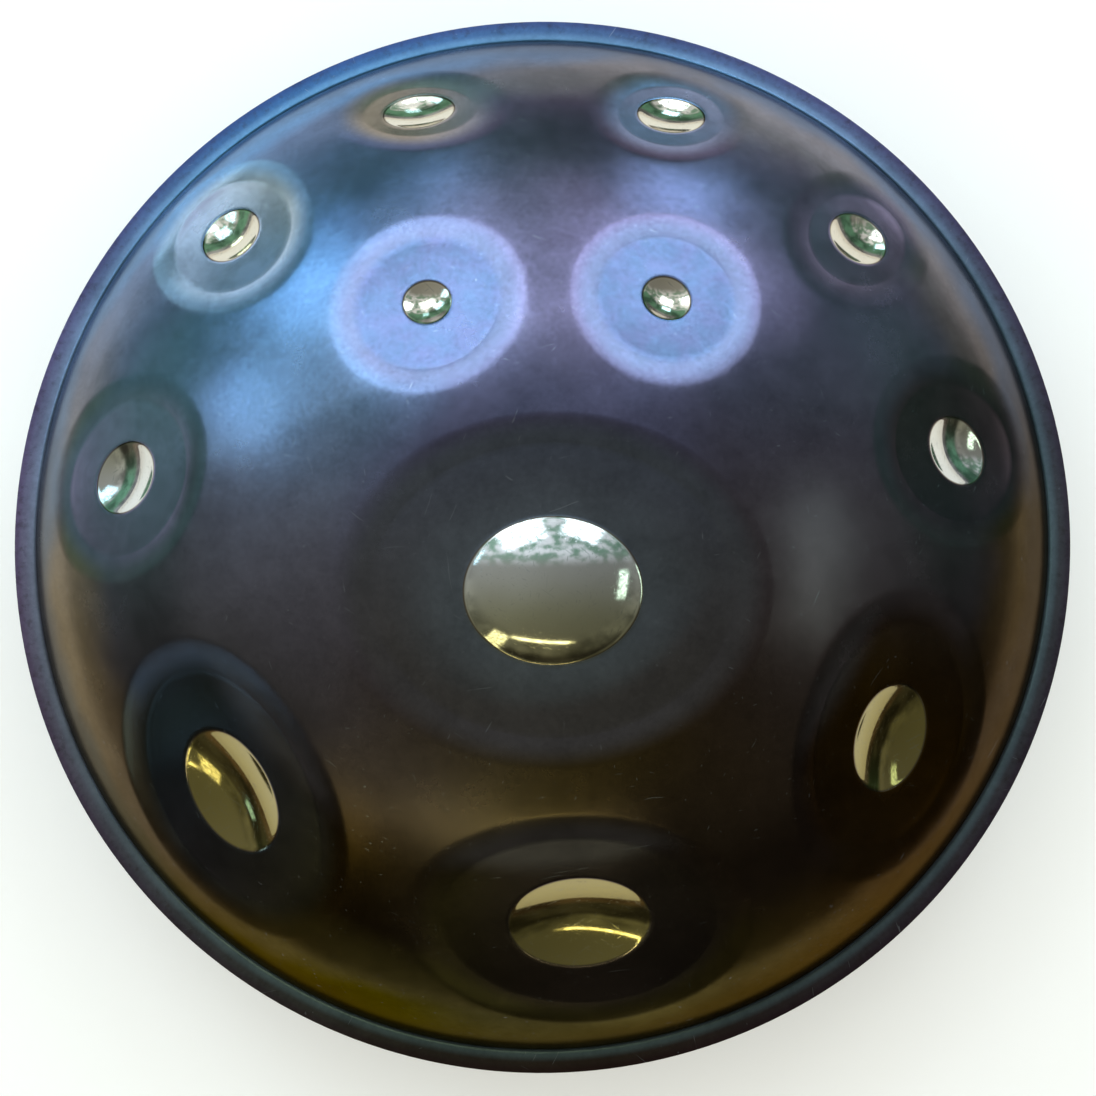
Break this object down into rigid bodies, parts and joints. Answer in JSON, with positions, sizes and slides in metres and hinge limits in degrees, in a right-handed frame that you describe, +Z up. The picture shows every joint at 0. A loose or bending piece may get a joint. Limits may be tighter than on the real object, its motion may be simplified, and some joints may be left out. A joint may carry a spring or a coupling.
{
  "type": "handpan",
  "caption": "Lens-shaped steel hand drum with hammered elliptical tone fields around a raised centre note, and a round sound port underneath.",
  "frame": {"origin": "centre of the flat ring around the sound port, which the instrument rests on", "axes": "+Z up through the playing side, +Y away from the player, +X to the player's right"},
  "size_m": [0.53, 0.53, 0.2019],
  "materials": {
    "nitrided_steel_top": "satin nitrided steel with blue, purple and brown temper colours and polished dimples",
    "nitrided_steel_bottom": "satin nitrided steel, dark blue grey",
    "rim_adhesive": "cured black epoxy"
  },
  "bodies": {
    "root": {"top_shell": "nitrided_steel_top", "bottom_shell": "nitrided_steel_bottom", "rim_bond": "rim_adhesive"}
  },
  "joints": []
}
